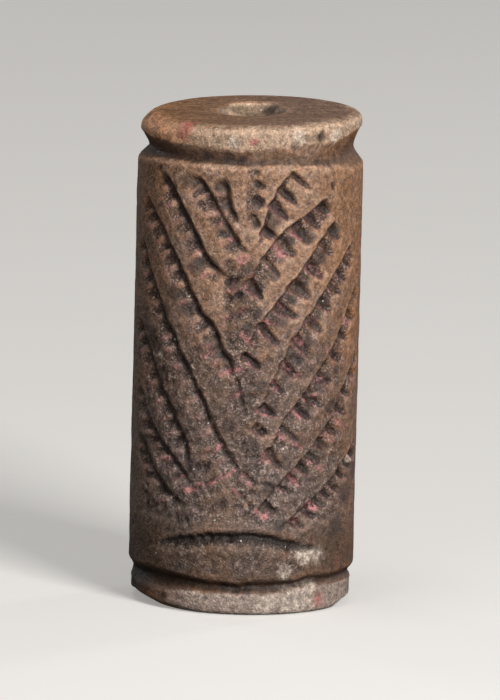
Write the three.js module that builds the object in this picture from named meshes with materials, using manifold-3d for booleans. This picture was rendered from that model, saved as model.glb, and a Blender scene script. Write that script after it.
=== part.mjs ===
// An ancient cylinder seal of brown-grey stone, standing on its lower end. Millimetres, +Z up, the front faces -Y,
// and the origin is the middle of the lower end. It is one stone: a short column with a bore along its axis, a rim
// and a neck groove at each end, and nested chevrons of hatched rows cut into the field between the necks.

import * as THREE from "three";
import { mergeVertices } from "three/addons/utils/BufferGeometryUtils.js";
import Module from "manifold-3d";

// The column
const sealHeight = 50; // along the axis
const bodyRadius = 11.4;
const boreRadius = 2.95;
const mouthWear = 0.35; // how much wider the bore's worn mouths are than the bore
const mouthDepth = 0.9;
const topSlope = 1.4; // degrees by which the upper end was cut out of square, higher to the right

// The rims and the neck grooves behind them
const rimInset = 0.2; // the rims' widest line lies this far inside the body's radius
const topRound = 0.45; // rounding of the upper end's outer edge
const bottomRound = 0.8;
const topRimHeight = 1.95;
const topNeckHeight = 2.3;
const topNeckDepth = 0.8; // below the body's radius
const bottomRimHeight = 2.3;
const bottomNeckHeight = 1.9;
const bottomNeckDepth = 0.85;
const neckUnevenness = 0.2; // by which the hand-cut necks grow shallower and deeper round the seal
const topNeckTurn = -130; // degrees by which the upper neck's two waves are turned round the seal
const bottomNeckTurn = -92;

// The carved field. A groove has a steep wall on its upper side and a longer slope on its lower side.
const lineWall = 0.3;
const lineSlope = 0.55;
const lineDepth = 0.42;
const furrowWall = 0.45; // the left-hand rows are wide furrows
const furrowSlope = 2.1;
const furrowDepth = 0.8;
const notchWidth = 1.7;
const notchLength = 2.5;
const notchDepth = 0.72;
const notchLean = 0.6; // share of the half width by which a notch's floor lies nearer to its steep side
const notchPitch = 2.2;
const notchMargin = 0.8; // from a row's ends to its first and last notch
const cutRun = 0.6; // how far a cutter stands out of the surface
const runOutEnd = 0.35; // share of its depth and width that a groove keeps at its two ends

// The arched groove above the lower neck, and the swelling below it
const archWall = 0.6;
const archSlope = 0.95;
const archDepth = 0.8;
const archSag = 0.75; // how far the swelling pushes the lower neck's upper edge down at the front
const archSagReach = 40; // degrees from the front by which the swelling has mostly died away

// How finely the shapes are divided
const roundSegments = 64;
const rowSteps = 6;
const curveSteps = 3;

// Rows of the front, from the top down. Each end is [degrees from the front, share of the seal's height], from the
// left end to the right. The bow lifts the middle, as a share of the height too, and the slant is the way that the
// row's notches run, in degrees from level.
const frontFurrows = [
  { from: [-12, 0.9], to: [-3, 0.806], bow: -0.02, slant: 190 },
  { from: [-32, 0.9], to: [0, 0.75], bow: 0.01, slant: 205 },
  { from: [-51, 0.898], to: [-10, 0.698], bow: -0.006, slant: 212 },
  { from: [-66, 0.84], to: [-5, 0.498], bow: 0.028, slant: 212 },
  { from: [-70, 0.75], to: [0, 0.298], bow: 0.006, slant: 208 },
  { from: [-72, 0.59], to: [-27.5, 0.3], bow: 0.021, slant: 205 },
  { from: [-68, 0.45], to: [-28, 0.274], bow: -0.016, slant: 200 },
  { from: [-66, 0.356], to: [-30, 0.226], bow: -0.023, slant: 200 },
];
const frontLines = [
  { from: [6, 0.768], to: [22.5, 0.908], bow: 0.024, slant: -50 },
  { from: [-1, 0.668], to: [43, 0.848], bow: 0.032, slant: -57 },
  { from: [0, 0.54], to: [50, 0.798], bow: 0.017, slant: -60 },
  { from: [6.5, 0.39], to: [66, 0.746], bow: 0.05, slant: -57 },
  { from: [9, 0.31], to: [73, 0.656], bow: 0.007, slant: -44 },
  { from: [7, 0.212], to: [77, 0.528], bow: -0.014, slant: -38 },
  { from: [20, 0.18], to: [78, 0.336], bow: 0.002, slant: -38 },
  { from: [1, 0.82], to: [1.6, 0.922], bow: 0, slant: -15 },
];
const looseCuts = [
  { from: [-5, 0.492], to: [1, 0.412], bow: 0 },
  { from: [0.5, 0.296], to: [8, 0.266], bow: 0 },
  { from: [8, 0.278], to: [23, 0.256], bow: 0 },
  { from: [-3, 0.26], to: [7, 0.216], bow: 0 },
];
const arch = { from: [-54, 0.13], to: [48, 0.13], bow: 0.036 };

// The back repeats the chevrons more plainly, at an even pitch
const backRowCount = 6;
const backRowPitch = 0.118;
const backTop = 0.86;
const backReach = 62; // degrees from the back's middle to a row's outer end
const backRise = 0.27; // share of the height by which a row climbs from the middle to its outer end

const up = new THREE.Vector3(0, 0, 1);
const wasm = await Module();
wasm.setup();

// A closed geometry as a solid that can be joined and cut
function solidOf(geometry) {
  geometry.deleteAttribute("normal");
  geometry.deleteAttribute("uv");
  const merged = mergeVertices(geometry, 1e-4);
  return new wasm.Manifold(
    new wasm.Mesh({
      numProp: 3,
      vertProperties: merged.attributes.position.array,
      triVerts: new Uint32Array(merged.index.array),
    }),
  );
}

// Changes each vertex of a geometry in place
function reshape(geometry, change) {
  const position = geometry.attributes.position;
  const point = new THREE.Vector3();
  for (let i = 0; i < position.count; i++) {
    change(point.fromBufferAttribute(position, i));
    position.setXYZ(i, point.x, point.y, point.z);
  }
  return geometry;
}

// Bends flat work round the seal: x runs round it from the front, y up it, and z stands out of the surface
function wrap(geometry) {
  return reshape(geometry, (point) => {
    const angle = point.x / bodyRadius;
    const radius = bodyRadius + point.z;
    point.set(radius * Math.sin(angle), -radius * Math.cos(angle), point.y);
  });
}

// [degrees, share of the height] as a point of the flat work
function flatPoint([degrees, share], lift = 0) {
  return new THREE.Vector2(THREE.MathUtils.degToRad(degrees) * bodyRadius, (share + lift) * sealHeight);
}

// A row's line in the flat work: an arc through its two ends, lifted in its middle by its bow
function rowCurve({ from, to, bow }) {
  const middle = [(from[0] + to[0]) / 2, (from[1] + to[1]) / 2];
  return new THREE.QuadraticBezierCurve(flatPoint(from), flatPoint(middle, 2 * bow), flatPoint(to));
}

// The side of a left-to-right curve that faces up the seal
function upperSide(curve, t) {
  const along = curve.getTangent(t);
  return new THREE.Vector2(-along.y, along.x);
}

// A V-shaped cutter along a curve of the flat work, which runs out shallow and narrow at both ends
function grooveCutter(curve, wall, slope, depth) {
  const spread = (depth + cutRun) / depth;
  const section = new THREE.Shape()
    .moveTo(-slope * spread, cutRun)
    .lineTo(0, -depth)
    .lineTo(wall * spread, cutRun);
  const cutter = new THREE.ExtrudeGeometry(section, { depth: 1, steps: rowSteps, bevelEnabled: false });
  return reshape(cutter, (point) => {
    const t = point.z;
    const runOut = THREE.MathUtils.lerp(runOutEnd, 1, Math.sqrt(Math.sin(Math.PI * t)));
    const place = curve.getPoint(t).addScaledVector(upperSide(curve, t), point.x * runOut);
    point.set(place.x, place.y, point.y < 0 ? point.y * runOut : point.y);
  });
}

// A notch that hangs from a row's line at t: deep at the line, steep on one side, and rising to the surface at its
// far end
function notchCutter(curve, t, slant) {
  const foot = curve.getPoint(t);
  const turn = THREE.MathUtils.degToRad(slant);
  const down = new THREE.Vector3(Math.cos(turn), Math.sin(turn), 0).multiplyScalar(notchLength);
  const across = new THREE.Vector3(-Math.sin(turn), Math.cos(turn), 0).multiplyScalar(notchWidth / 2);
  const inward = up.clone().multiplyScalar(-notchDepth);
  const place = new THREE.Matrix4()
    .makeBasis(across, down, inward)
    .setPosition(foot.x + down.x / 2, foot.y + down.y / 2, 0);
  const cutter = reshape(new THREE.ConeGeometry(1, 1, 4), (point) => {
    point.x += notchLean * Math.max(0, point.z);
  });
  return cutter.applyMatrix4(place);
}

// One row: its groove, and its notches at an even pitch
function rowCutters(row, wall, slope, depth) {
  const curve = rowCurve(row);
  const cutters = [grooveCutter(curve, wall, slope, depth)];
  const run = curve.getLength();
  for (let along = notchMargin; along < run - notchMargin; along += notchPitch) {
    cutters.push(notchCutter(curve, along / run, row.slant));
  }
  return cutters;
}

function frontCutters() {
  return [
    ...frontFurrows.flatMap((row) => rowCutters(row, furrowWall, furrowSlope, furrowDepth)),
    ...frontLines.flatMap((row) => rowCutters(row, lineWall, lineSlope, lineDepth)),
    ...looseCuts.map((row) => grooveCutter(rowCurve(row), lineWall, lineSlope, lineDepth)),
    grooveCutter(rowCurve(arch), archWall, archSlope, archDepth),
  ];
}

// Plain chevrons on the side that the front hides, without notches
function backCutters() {
  const cutters = [];
  for (let i = 0; i < backRowCount; i++) {
    const outer = backTop - i * backRowPitch;
    const inner = outer - backRise;
    if (inner < arch.from[1]) break;
    const left = { from: [180 - backReach, outer], to: [180, inner], bow: 0 };
    const right = { from: [180, inner], to: [180 + backReach, outer], bow: 0 };
    for (const row of [left, right]) cutters.push(grooveCutter(rowCurve(row), lineWall, lineSlope, lineDepth));
  }
  return cutters;
}

// The seal's outline from the lower mouth of the bore, out, up the side and in again, closed along the bore
function outline() {
  const rim = bodyRadius - rimInset;
  const topNeck = bodyRadius - topNeckDepth;
  const bottomNeck = bodyRadius - bottomNeckDepth;
  const mouth = boreRadius + mouthWear;
  const bottomNeckEnd = bottomRimHeight + bottomNeckHeight;
  const topRimStart = sealHeight - topRimHeight;
  const topNeckStart = topRimStart - topNeckHeight;
  return new THREE.Path()
    .moveTo(boreRadius, mouthDepth)
    .lineTo(mouth, 0)
    .lineTo(rim - bottomRound, 0)
    .quadraticCurveTo(rim, 0, rim, bottomRound)
    .quadraticCurveTo(rim, bottomRimHeight * 0.9, bottomNeck, bottomRimHeight)
    .quadraticCurveTo(bottomNeck, bottomNeckEnd, bodyRadius, bottomNeckEnd)
    .lineTo(bodyRadius, topNeckStart)
    .quadraticCurveTo(topNeck, topNeckStart + topNeckHeight / 3, topNeck, topRimStart)
    .quadraticCurveTo(rim, topRimStart, rim, sealHeight - topRound)
    .quadraticCurveTo(rim, sealHeight, rim - topRound, sealHeight)
    .lineTo(mouth, sealHeight)
    .lineTo(boreRadius, sealHeight - mouthDepth)
    .closePath()
    .getPoints(curveSteps);
}

// The blank before carving, with its necks cut unevenly and its upper end out of square
function blank() {
  const turned = new THREE.LatheGeometry(outline(), roundSegments).rotateX(Math.PI / 2);
  const bottomNeckEnd = bottomRimHeight + bottomNeckHeight;
  const topNeckStart = sealHeight - topRimHeight - topNeckHeight;
  reshape(turned, (point) => {
    const angle = Math.atan2(point.x, -point.y);
    const radius = Math.hypot(point.x, point.y);
    const lower = point.z < sealHeight / 2;
    const neckDepth = lower ? bottomNeckDepth : topNeckDepth;
    const inNeck = THREE.MathUtils.smoothstep(bodyRadius - rimInset - radius, 0, neckDepth - rimInset);
    const outside = radius > bodyRadius - 1.2 * neckDepth;
    if (outside && inNeck > 0) {
      const turn = THREE.MathUtils.degToRad(lower ? bottomNeckTurn : topNeckTurn);
      const wave = Math.cos(2 * angle - turn);
      const scale = 1 - (inNeck * neckUnevenness * wave) / radius;
      point.x *= scale;
      point.y *= scale;
    }
    if (outside && lower && point.z > bottomRimHeight) {
      const rise = THREE.MathUtils.clamp((point.z - bottomRimHeight) / bottomNeckHeight, 0, 1);
      point.z -= archSag * rise * Math.exp(-((angle / THREE.MathUtils.degToRad(archSagReach)) ** 2));
    }
    const tilted = THREE.MathUtils.clamp((point.z - topNeckStart) / topNeckHeight, 0, 1);
    point.z += tilted * point.x * Math.tan(THREE.MathUtils.degToRad(topSlope));
  });
  return solidOf(turned);
}

// A hollow left by a flake that broke off, where bite is how deep it goes below the place's own surface
function chip(degrees, radius, height, size, bite) {
  const angle = THREE.MathUtils.degToRad(degrees);
  const reach = radius + size - bite;
  const ball = new THREE.IcosahedronGeometry(size, size > 2 ? 2 : 1);
  return ball.translate(reach * Math.sin(angle), -reach * Math.cos(angle), height);
}

function chipCutters() {
  const rim = bodyRadius - rimInset;
  const mouth = boreRadius + mouthWear;
  return [
    chip(-74, rim, sealHeight - topRimHeight, 1.6, 0.4),
    chip(-80, rim, sealHeight + 0.6, 3, 0.7),
    chip(24, rim, sealHeight - topRimHeight, 1.3, 0.25),
    chip(-58, rim, -1.5, 9, 0.85),
    chip(-34, rim, -1.3, 7, 0.65),
    chip(-15, rim, -0.9, 4, 0.45),
    chip(68, rim, -0.8, 5, 0.5),
    chip(178, mouth - 0.5, sealHeight + 1.5, 3, 3),
    chip(-95, mouth - 0.1, sealHeight + 0.8, 1.2, 1.2),
    chip(70, mouth - 0.5, sealHeight + 0.6, 0.9, 0.9),
  ];
}

// The carved stone
function carvedStone() {
  let stone = blank();
  const carving = [...frontCutters(), ...backCutters()].map(wrap);
  for (const cutter of [...carving, ...chipCutters()]) stone = stone.subtract(solidOf(cutter));
  const { vertProperties, triVerts } = stone.getMesh();
  return new THREE.BufferGeometry()
    .setAttribute("position", new THREE.BufferAttribute(vertProperties, 3))
    .setIndex(new THREE.BufferAttribute(triVerts, 1));
}

const stoneFinish = new THREE.MeshStandardMaterial({ color: 0x8a7360, roughness: 0.55, metalness: 0 });

const seal = new THREE.Mesh(carvedStone(), stoneFinish);
seal.name = "cylinder_seal";

const part = new THREE.Group();
part.add(seal);

export default part;
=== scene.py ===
import bpy
import bmesh
import math
import numpy as np
from mathutils import Matrix, Vector, noise


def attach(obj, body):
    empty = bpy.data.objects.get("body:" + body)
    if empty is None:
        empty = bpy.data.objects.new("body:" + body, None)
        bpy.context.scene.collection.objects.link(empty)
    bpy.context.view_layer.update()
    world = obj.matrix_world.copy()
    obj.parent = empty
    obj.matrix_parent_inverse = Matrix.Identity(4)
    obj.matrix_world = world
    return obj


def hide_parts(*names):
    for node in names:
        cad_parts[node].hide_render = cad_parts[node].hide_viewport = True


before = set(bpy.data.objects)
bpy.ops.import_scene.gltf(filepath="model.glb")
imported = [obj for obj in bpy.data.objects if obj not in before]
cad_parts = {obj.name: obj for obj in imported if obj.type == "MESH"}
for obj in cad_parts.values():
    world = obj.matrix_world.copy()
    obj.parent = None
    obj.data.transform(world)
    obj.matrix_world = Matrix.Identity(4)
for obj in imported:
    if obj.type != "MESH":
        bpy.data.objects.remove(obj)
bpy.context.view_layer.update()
print("frame loaded")

mm = 0.001

# The whole seal. Lengths are in mm, and angles in degrees round it from the front, to the right.
seal = {
    "height": 50.0,
    "bodyRadius": 11.4,
    "rimRadius": 11.2,
    "boreRadius": 2.95,
    "mouthRadius": 3.1,
    "topSlope": 1.4,         # degrees that the upper end is out of square, higher to the right
    "turns": 320,            # steps of the spin
    "crowding": 0.36,        # how much closer the steps stand at the front than on average
    "ring": 0.2,             # height of one ring of faces on the side
    "cornerPasses": 3,       # rounds of smoothing that wear the corners
    "swelling": 0.16,        # of the band between the arched groove and the lower neck
    "edgeRounding": 0.3,     # of the upper edge all round
    "leftRounding": 0.65,    # added on the left, where the upper edge is rubbed rounder
    "sideFrom": 9.5,         # radius beyond which the surface counts as the side
    "rimShrink": 0.13,       # of the lower rim, worn narrower than the upper one
}

# Each neck groove: angle, its edge towards the end, its edge towards the body, and its depth
necks = {
    "upper": [
        (-180, 48.1, 45.4, 0.9), (-90, 48.3, 45.0, 1.0), (-60, 48.15, 45.6, 0.9), (-40, 48.05, 45.9, 0.75),
        (-18, 47.95, 45.95, 0.65), (-8, 47.65, 45.95, 0.6), (0, 47.6, 45.9, 0.55), (12, 47.95, 45.95, 0.5),
        (22, 47.85, 46.0, 0.45), (26, 47.85, 45.95, 0.45), (28, 48.1, 45.95, 0.45), (40, 48.05, 45.8, 0.45),
        (48, 47.95, 45.5, 0.5), (56, 48.3, 45.3, 0.65), (65, 48.7, 45.0, 0.8), (90, 48.9, 44.9, 0.95),
        (180, 48.1, 45.4, 0.9),
    ],
    "lower": [
        (-180, 1.7, 4.3, 0.8), (-90, 2.0, 4.1, 0.35), (-65, 1.9, 4.1, 0.7), (-50, 1.8, 4.3, 0.95),
        (-42, 1.95, 4.15, 1.0), (-30, 2.15, 3.95, 0.95), (-20, 2.15, 3.7, 0.85), (-10, 2.2, 3.4, 0.7),
        (0, 2.05, 3.35, 0.7), (5, 2.25, 3.6, 0.7), (12, 2.15, 3.75, 0.75), (20, 2.25, 3.7, 0.75),
        (28, 2.65, 3.7, 0.75), (36, 2.6, 4.05, 0.8), (43, 2.7, 4.0, 0.6), (50, 2.8, 3.9, 0.45),
        (68, 2.6, 4.0, 0.45), (90, 2.5, 3.9, 0.4), (180, 1.7, 4.3, 0.8),
    ],
    "upperFloor": 0.8,       # where the floor lies, from the body's edge to the rim's
    "lowerFloor": 0.55,      # where the floor lies, from the rim's edge to the body's
    "sideShift": 0.2,        # how much nearer to the middle the upper floor lies at the sides
}

# Left-hand rows, from the top down: points along the line from its left end, the way its ribs run, and its depth
furrows = [
    ([(-12, 45), (-10, 43), (-8.5, 41.6), (-3, 40.3)], 190, 0.6),
    ([(-32, 45), (-26, 44.4), (-21, 43.3), (-17, 42.1), (-10, 40), (-4, 38.2), (0, 37.5)], 205, 0.62),
    ([(-51, 44.9), (-43, 43.2), (-34, 40.7), (-25, 37.9), (-19, 36.1), (-10, 34.9)], 212, 0.66),
    ([(-66, 42), (-54, 39.9), (-43, 37), (-34, 34.4), (-28.5, 32.5), (-23, 30.7), (-17, 29.5), (-11, 27.2),
      (-5, 24.9)], 212, 0.62),
    ([(-70, 37.5), (-55, 32.8), (-44, 29.3), (-32, 25.6), (-22, 22), (-14.5, 19.2), (-7, 16.6),
      (0, 14.9)], 208, 0.5),
    ([(-72, 29.5), (-62, 27), (-48, 22.7), (-38, 19.8), (-31, 17.2), (-27.5, 15)], 205, 0.52),
    ([(-68, 22.5), (-60, 19.8), (-48, 17.3), (-39, 15.8), (-28, 13.7)], 200, 0.5),
    ([(-66, 17.8), (-54, 14.6), (-46, 13), (-36, 11.8), (-30, 11.3)], 200, 0.42),
]
furrow = {
    "wall": 0.5,             # width of the steep wall on the upper side
    "slope": 1.9,            # width of the lower side
    "pitch": 1.8,            # from rib to rib
    "rib": 0.85,             # share of the depth that a rib fills
    "runOut": 1.6,           # length over which it ends
}

# Right-hand rows, from the top down: points along the line, how wide the rough ground under it is, and its strokes:
# the angle at which each leaves the line, the way it runs, its length and its width
strokeRows = [
    ([(6, 38.4), (11, 41.4), (14, 43.2), (18, 44.3), (22.5, 45.4)], 0.0,
     [(22.5, -39, 2.9, 0.9), (16.8, -47, 2.6, 1.3), (12.8, -50, 2.8, 1.4), (8.5, -42, 2.0, 1.5)]),
    ([(-1, 33.4), (4, 35.3), (11, 37.5), (19, 39.3), (28, 40.5), (35, 41.3), (43, 42.4)], 2.3,
     [(41.5, -47, 1.6, 1.8), (35, -60, 2.2, 1.8), (27, -57, 2.8, 1.9), (17.5, -53, 2.8, 1.9), (9.3, -54, 2.9, 1.1),
      (2, -58, 2.5, 1.7)]),
    ([(0, 27), (5, 29), (11, 30.9), (18, 32.6), (25, 34.3), (35, 36.7), (44, 38.8), (50, 39.9)], 2.0,
     [(49.5, -60, 2.1, 1.6), (43, -56, 2.7, 1.7), (34.5, -53, 2.9, 1.8), (26, -49, 2.9, 2.0), (16.5, -37, 2.9, 1.8),
      (8.5, -54, 3.2, 1.5), (-0.5, -42, 2.6, 1.3)]),
    ([(6.5, 19.5), (10, 21.8), (15.5, 24.3), (20.5, 26.1), (26, 28.2), (32, 29.9), (40, 32), (48, 33.8), (56, 35.5),
      (66, 37.3)], 1.9,
     [(62, -55, 2.0, 1.5), (56, -55, 2.2, 1.6), (50, -52, 2.3, 1.7), (43, -53, 2.4, 1.7), (35.3, -50, 2.6, 1.8),
      (28, -54, 3.4, 1.7), (21, -50, 2.5, 1.5), (15.3, -49, 2.0, 1.3), (10.2, -46, 1.9, 1.7), (7, -45, 1.8, 1.6)]),
    ([(9, 15.5), (14, 17), (22, 20.2), (28, 21.5), (36, 23.3), (47, 25.9), (58, 28.8), (73, 32.8)], 1.5,
     [(66, -45, 2.2, 1.5), (59, -45, 2.2, 1.5), (52, -46, 2.3, 1.5), (43, -41, 2.3, 1.6), (35.3, -44, 3.0, 1.8),
      (28.8, -45, 2.6, 1.1), (20.3, -43, 2.7, 1.2), (14.8, -64, 2.6, 1.3)]),
    ([(7, 10.6), (13, 12), (20, 13.7), (27, 14.9), (36, 16.6), (44, 18.2), (50, 19.6), (60, 22.3), (77, 26.4)], 1.4,
     [(70, -40, 2.0, 1.4), (63, -40, 2.2, 1.4), (56.5, -40, 2.3, 1.4), (50, -42, 2.5, 1.5), (43.5, -42, 2.2, 1.5),
      (36.8, -40, 2.2, 1.4), (31.5, -44, 1.9, 1.5), (25.5, -40, 2.0, 1.3), (19.5, -30, 1.8, 0.9),
      (12.5, -45, 2.0, 1.5)]),
    ([(20, 9), (27, 10), (35, 11.1), (43, 12.2), (52, 13.4), (60, 14.6), (70, 15.8), (78, 16.8)], 1.4,
     [(74, -38, 1.9, 1.3), (67, -38, 2.0, 1.3), (60, -38, 2.2, 1.3), (53, -38, 2.3, 1.4), (47.5, -38, 2.4, 1.3),
      (41.5, -38, 2.0, 1.3), (35, -40, 2.0, 1.4), (27.5, -38, 1.9, 1.3)]),
]
strokes = {
    "wall": 0.25,            # width of the steep wall on the upper right side
    "depth": 0.72,
    "lineWidth": 0.75, "lineDepth": 0.4,
    "groundDepth": 0.26,     # of the rough ground under a line
}

# Single cuts: two ends, width and depth
singles = [
    ((1, 46.2), (1.6, 41), 0.5, 0.14), ((0, 45.6), (5, 45.2), 1.5, 0.25),
    ((1, 44.6), (8.5, 43.7), 0.9, 0.45), ((1, 43.1), (7.5, 41.9), 1.4, 0.55),
    ((0, 41.4), (6, 39.7), 1.1, 0.5), ((-4, 34.5), (-13, 33.9), 1.0, 0.45),
    ((-2, 33.1), (-11, 32.1), 1.0, 0.4), ((-1, 31.3), (-12, 29.9), 0.6, 0.2),
    ((-5, 24.6), (1, 20.6), 0.8, 0.35), ((0.5, 14.8), (8, 13.3), 0.7, 0.35),
    ((8, 13.9), (23, 12.8), 0.6, 0.28), ((-3, 13), (7, 10.8), 0.6, 0.28),
    ((25.5, 27.3), (30, 25.6), 2.0, 0.5), ((31.5, 23), (40, 21), 1.9, 0.4),
    ((-31, 10.2), (-26, 8.3), 0.45, 0.18), ((-22, 13.3), (-3, 15.1), 0.5, 0.16),
    ((-36, 46.05), (-26, 45.95), 0.3, 0.16), ((22, 46.1), (40, 45.9), 0.3, 0.14),
    ((2, 17.6), (0, 15.6), 0.4, 0.14), ((-26, 14.9), (-15, 15.2), 1.6, 0.35),
]

# The arched groove over the lower neck
arch = {
    "line": [(-54, 6.5), (-42, 7.0), (-30, 7.5), (-15, 8.0), (0, 8.2), (12, 7.95), (25, 7.35), (36, 6.95),
             (48, 6.5)],
    "wall": 0.6, "slope": 1.15, "depth": 0.8, "runOut": 6.0,
}

# Short strokes with pink residue in them: two ends and width
pinkStrokes = [
    ((-33, 36.3), (-25, 37.2), 0.5), ((-25, 34.4), (-14, 35.2), 0.4), ((-4, 36.5), (-1, 36.7), 1.0),
    ((-20, 39.4), (-15, 40), 0.5), ((-15, 38), (-9, 38.5), 0.5), ((-12, 30.1), (-2, 31.4), 0.4),
    ((-10, 33.2), (-3, 33.5), 0.5), ((-22, 26.5), (-17, 26.9), 0.6), ((-15, 26.2), (-13.5, 25), 0.4),
    ((-13, 24.7), (-3, 25.3), 0.5), ((-8, 22.2), (-2, 22.9), 0.5), ((-25, 18.1), (-16, 19.4), 0.3),
    ((-23, 16.2), (-11, 17.4), 0.5), ((-30, 12.5), (-22, 13.2), 0.7), ((-22, 13.2), (-14, 13.7), 0.4),
    ((-14, 13.8), (-4, 14.9), 0.4), ((-40, 13.4), (-33, 14), 0.5), ((-47, 15.2), (-38, 15.7), 0.5),
    ((0.5, 14.5), (3.5, 13.5), 0.6), ((-5, 13), (-1, 12.3), 0.4), ((14, 37.8), (18, 37.1), 1.1),
    ((22, 39.2), (27, 38.6), 0.5), ((31, 35.9), (37, 35.4), 0.6), ((40, 34.8), (43, 34.2), 0.4),
    ((20.5, 25.9), (31, 24.2), 0.5), ((26, 28.6), (32, 27.6), 0.5), ((14.5, 24), (17, 23.2), 0.6),
    ((7, 21.2), (11, 20.7), 0.5), ((26, 21), (30, 20.4), 0.6), ((17, 18.7), (21, 18.2), 0.8),
    ((21, 18.2), (32, 17.1), 0.4), ((9, 16.3), (14, 16), 0.7), ((35, 15.7), (45, 14.7), 0.5),
    ((26, 14.5), (29, 13.6), 0.8), ((8, 10.8), (12, 10.3), 0.8), ((35, 11.3), (41, 10.9), 0.9),
    ((27, 9.9), (30, 9.5), 0.7), ((45, 18.5), (49, 18.2), 0.6), ((48, 18), (56, 17.2), 0.4),
    ((56, 19.4), (68, 18.3), 0.5), ((50, 19.8), (54, 20.5), 0.6), ((60, 29.4), (68, 29.8), 0.8),
    ((46, 27), (53, 26.4), 0.6), ((41, 24.6), (46, 24), 0.5), ((35, 23.1), (40, 22.3), 0.4),
    ((9, 30.3), (14, 30), 0.5), ((-1, 33.6), (2, 35), 0.6), ((-2, 29), (3, 27.8), 0.6),
    ((36, 30.4), (40, 29.9), 0.4), ((17, 31.9), (20, 31.5), 0.4), ((68, 15.7), (77, 14.9), 0.4),
]

# Stains: kind, angle, height and radius
stains = [
    ("pale", 49, 48.9, 0.8), ("pale", 42, 6.1, 1.1), ("pale", 34, 6.2, 1.0), ("pale", 23, 4.5, 0.8),
    ("pale", 14, 1.1, 1.2), ("pale", 29, 1.3, 1.9), ("pale", 39, 1.5, 1.6), ("pale", -9, 48.4, 0.7),
    ("pale", 25, 48.9, 0.8), ("pale", -50, 26, 0.5), ("pale", 72, 15.3, 0.5), ("red", -38, 49.2, 1.1),
    ("red", 46, 1.5, 0.9), ("dark", 38, 48.8, 0.7), ("dark", -76, 2.0, 3.3), ("red", 2, 48.5, 0.5),
    ("dark", -44, 1.4, 0.6), ("dark", -8, 2.9, 0.5), ("dark", -2, 2.8, 0.55), ("dark", 4, 2.8, 0.5),
]

# Patches of dark earth held in the carving: angle, height and radius
earthPatches = [
    (-6, 34, 0.7), (-3.5, 32.8, 0.9), (66, 12, 1.6), (57, 8.8, 1.2), (76, 14.5, 1.6), (4.5, 33.5, 0.8),
    (12, 35.3, 0.5), (18, 30.3, 0.9), (23.5, 32.5, 0.9), (29, 33.6, 0.7), (13, 28.1, 0.6),
    (26.5, 26.6, 1.1), (33.5, 28, 0.7), (39, 30, 0.7), (45.5, 32.1, 0.6), (43, 23.2, 0.8),
    (35.5, 21.7, 1.0), (47.5, 24.1, 0.6), (33, 20.7, 0.7), (13.5, 21.1, 0.8), (17.8, 23.2, 0.5),
    (5.5, 25.7, 0.6), (-1, 22.6, 1.0), (1, 29.5, 0.7), (22.5, 24.7, 0.7), (-33, 44.2, 0.8),
    (-26, 43.7, 0.7), (-14.5, 43.8, 0.8), (-12, 41.9, 0.7), (-13, 39.5, 0.8), (-8, 38.3, 0.7),
    (4.5, 44.2, 0.6), (4.5, 42.3, 0.7), (3.5, 40.2, 0.5), (13, 41, 1.0), (10.5, 39.8, 0.7), (20.5, 43, 0.7),
    (32.5, 38.8, 0.9), (22, 38.5, 0.7), (42, 41.2, 1.0), (49.5, 39, 0.9), (41.5, 36.5, 1.0), (30, 34, 0.8),
    (14, 34.8, 0.5), (-43, 43.4, 0.7), (-35, 40.6, 0.8), (-28, 38.3, 0.8), (-27.5, 35.6, 0.9),
    (-18, 36, 0.7), (-9, 33.9, 0.8), (-40, 32.6, 0.9), (-33, 31.2, 0.8), (-17, 27.6, 0.8), (-12, 26.4, 0.6),
    (-47, 30.5, 0.8), (-34, 25.5, 0.8), (-56, 27.5, 1.0), (-48, 24, 1.0), (-38, 20.6, 0.7), (-27, 15, 0.9),
    (-42, 16.8, 0.7), (-60, 16.6, 1.0), (-46, 12.6, 0.8), (1, 35.6, 0.7), (-32, 9.6, 0.8), (20, 9.3, 0.7),
    (-5, 31, 0.8), (6, 31, 0.7), (8.5, 23.5, 0.7), (-8, 19.5, 0.8), (4, 17.5, 0.8), (29, 17.8, 0.8),
    (22, 15.8, 0.7), (14, 13.2, 0.7), (-10, 11.5, 0.8), (36, 14.2, 0.7), (44, 16.5, 0.8), (51, 20.9, 0.8),
    (55, 25, 0.7), (57, 34, 0.8), (-12, 46.9, 0.8), (-5, 46.6, 0.6), (-24, 46.9, 0.7),
]

# The back's plainer chevrons
backRows = {
    "count": 4,
    "top": 43.0,             # height of the highest row's ends
    "pitch": 5.9,            # from row to row
    "rise": 13.5,            # of a row's ends over its middle
    "reach": 62,             # degrees from the back's middle to a row's ends
    "wall": 0.4, "slope": 0.7, "depth": 0.5,
}

# The carved front of the side, and the small relief in it
relief = {
    "reach": 95,             # degrees to each side of the front's middle
    "from": 4, "to": 47.5,   # heights
    "pinkDepth": 0.12,       # of a stroke with residue in it
    "roughDepth": 0.15,      # of the rough ground
    "pitDepth": 0.11,
}

# Flakes lost from the rims and mouths: angle, radius, height, size of the hollow's ball, bite
chips = [
    (24, 11.2, 47.8, 1.3, 0.25), (40, 11.2, 48.9, 1.3, 0.18), (-80, 11.2, 50.6, 3.0, 0.7),
    (150, 11.2, 50.1, 2.6, 0.35), (-140, 11.2, 0.0, 3.0, 0.4), (-95, 2.9, 50.8, 1.1, 1.1),
    (-70, 2.8, 50.6, 0.9, 0.9), (-120, 3.0, 50.9, 1.1, 1.1), (178, 2.8, 51.5, 3.0, 3.0),
    (150, 3.4, 50.8, 1.1, 1.1), (70, 2.7, 50.6, 0.9, 0.9), (0, 2.7, 50.6, 0.8, 0.8),
    (-35, 2.7, 50.6, 0.9, 0.9), (170, 3.2, -0.4, 1.0, 0.9),
]

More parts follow.
